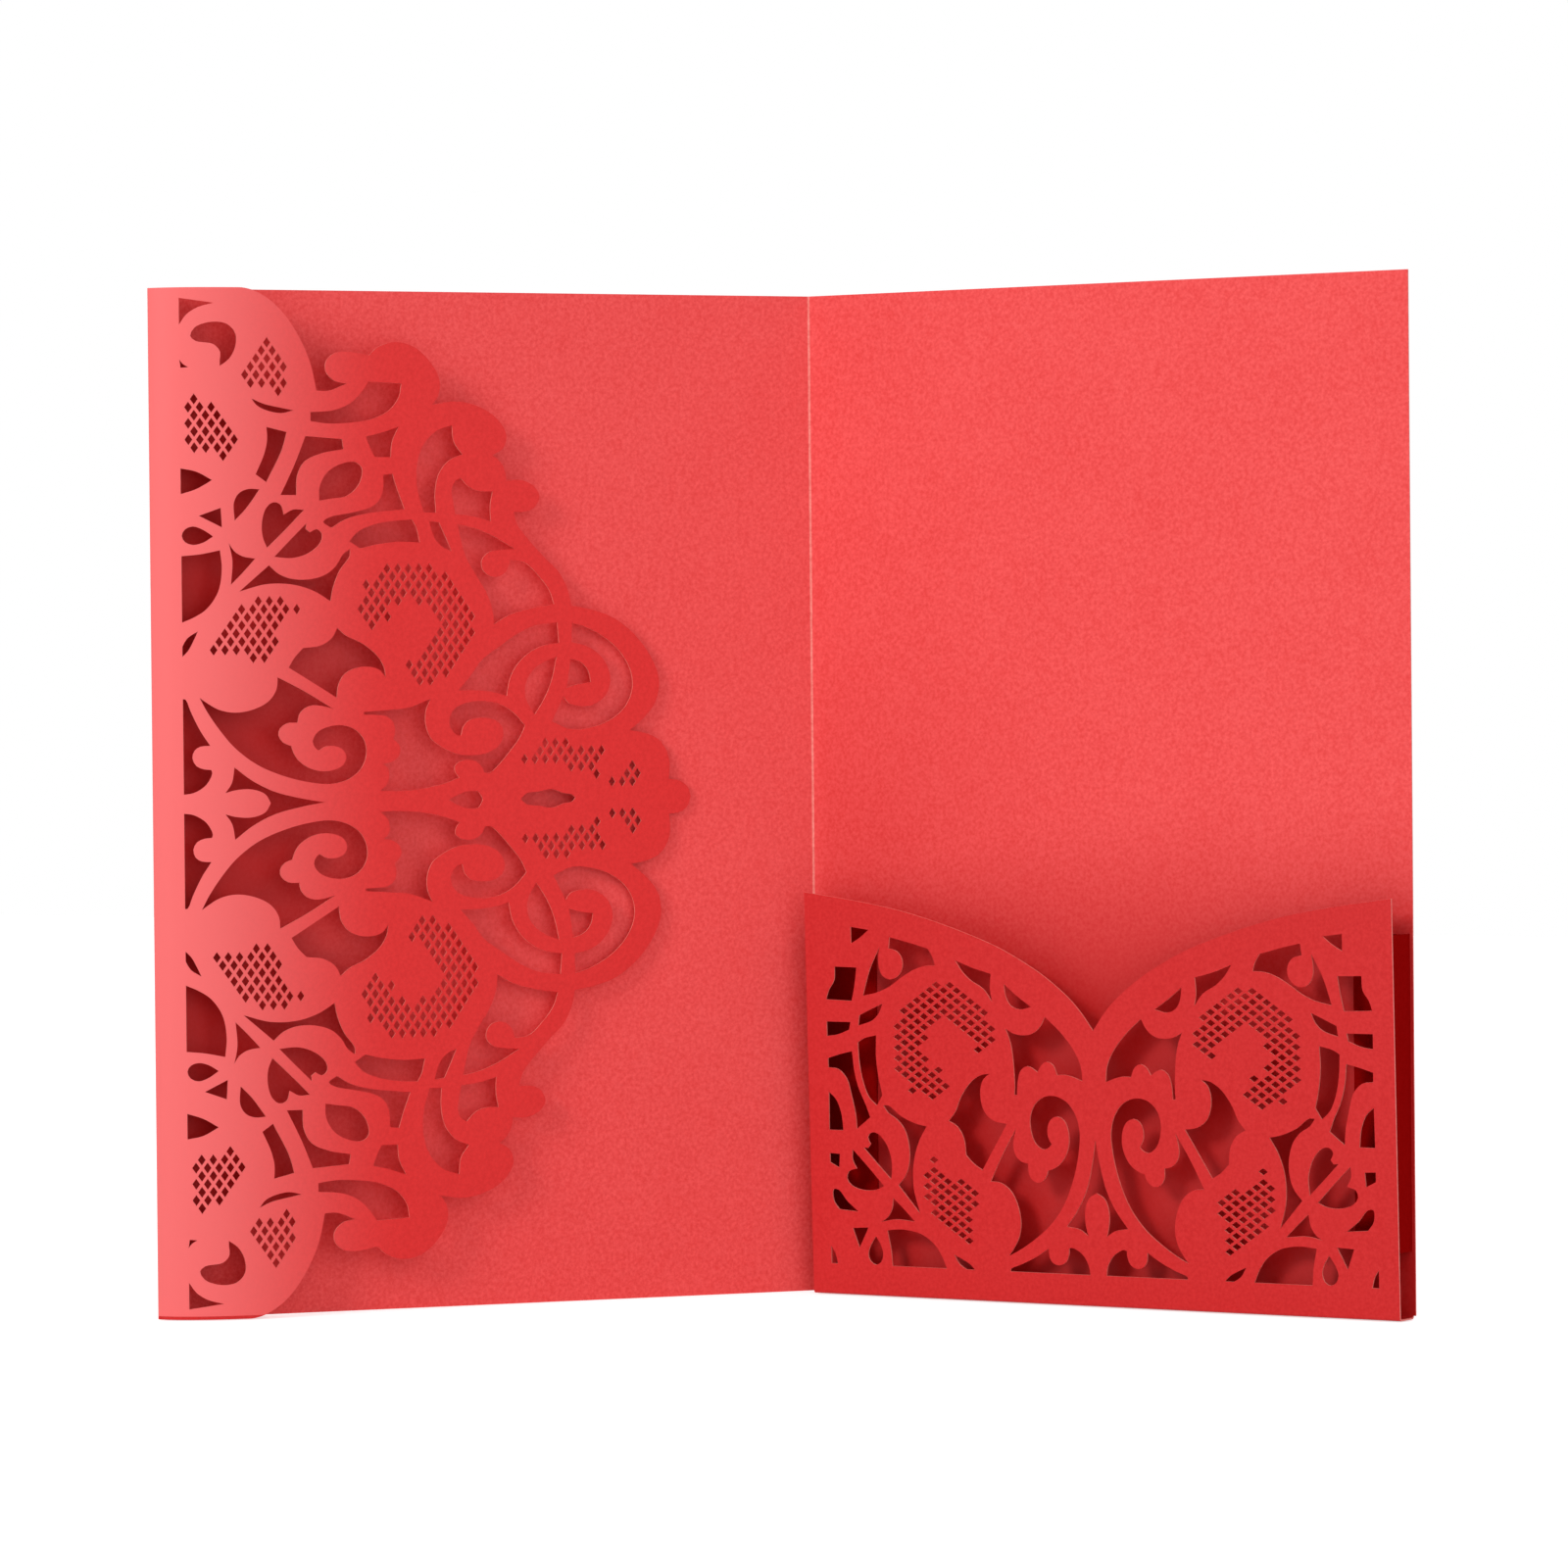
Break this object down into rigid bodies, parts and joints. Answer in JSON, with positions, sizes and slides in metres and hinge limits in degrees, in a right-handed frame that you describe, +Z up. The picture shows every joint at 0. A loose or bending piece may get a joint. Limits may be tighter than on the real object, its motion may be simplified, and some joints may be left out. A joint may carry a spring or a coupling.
{
  "type": "laser-cut pocket invitation card",
  "caption": "Folded card that stands open like a book, with a lace-cut flap over one panel and a lace-fronted pocket on the other.",
  "frame": {"origin": "point midway between the card's outer limits in X and Y, at the level of its standing edges", "axes": "+Z up the standing card, +X along the panel that carries the pocket, away from the spine, +Y from the pocket through that panel to its back"},
  "size_m": [0.2004, 0.1028, 0.185],
  "materials": {
    "pearl_card": "pearlescent satin"
  },
  "bodies": {
    "root": {"folded_card": "pearl_card"}
  },
  "joints": []
}
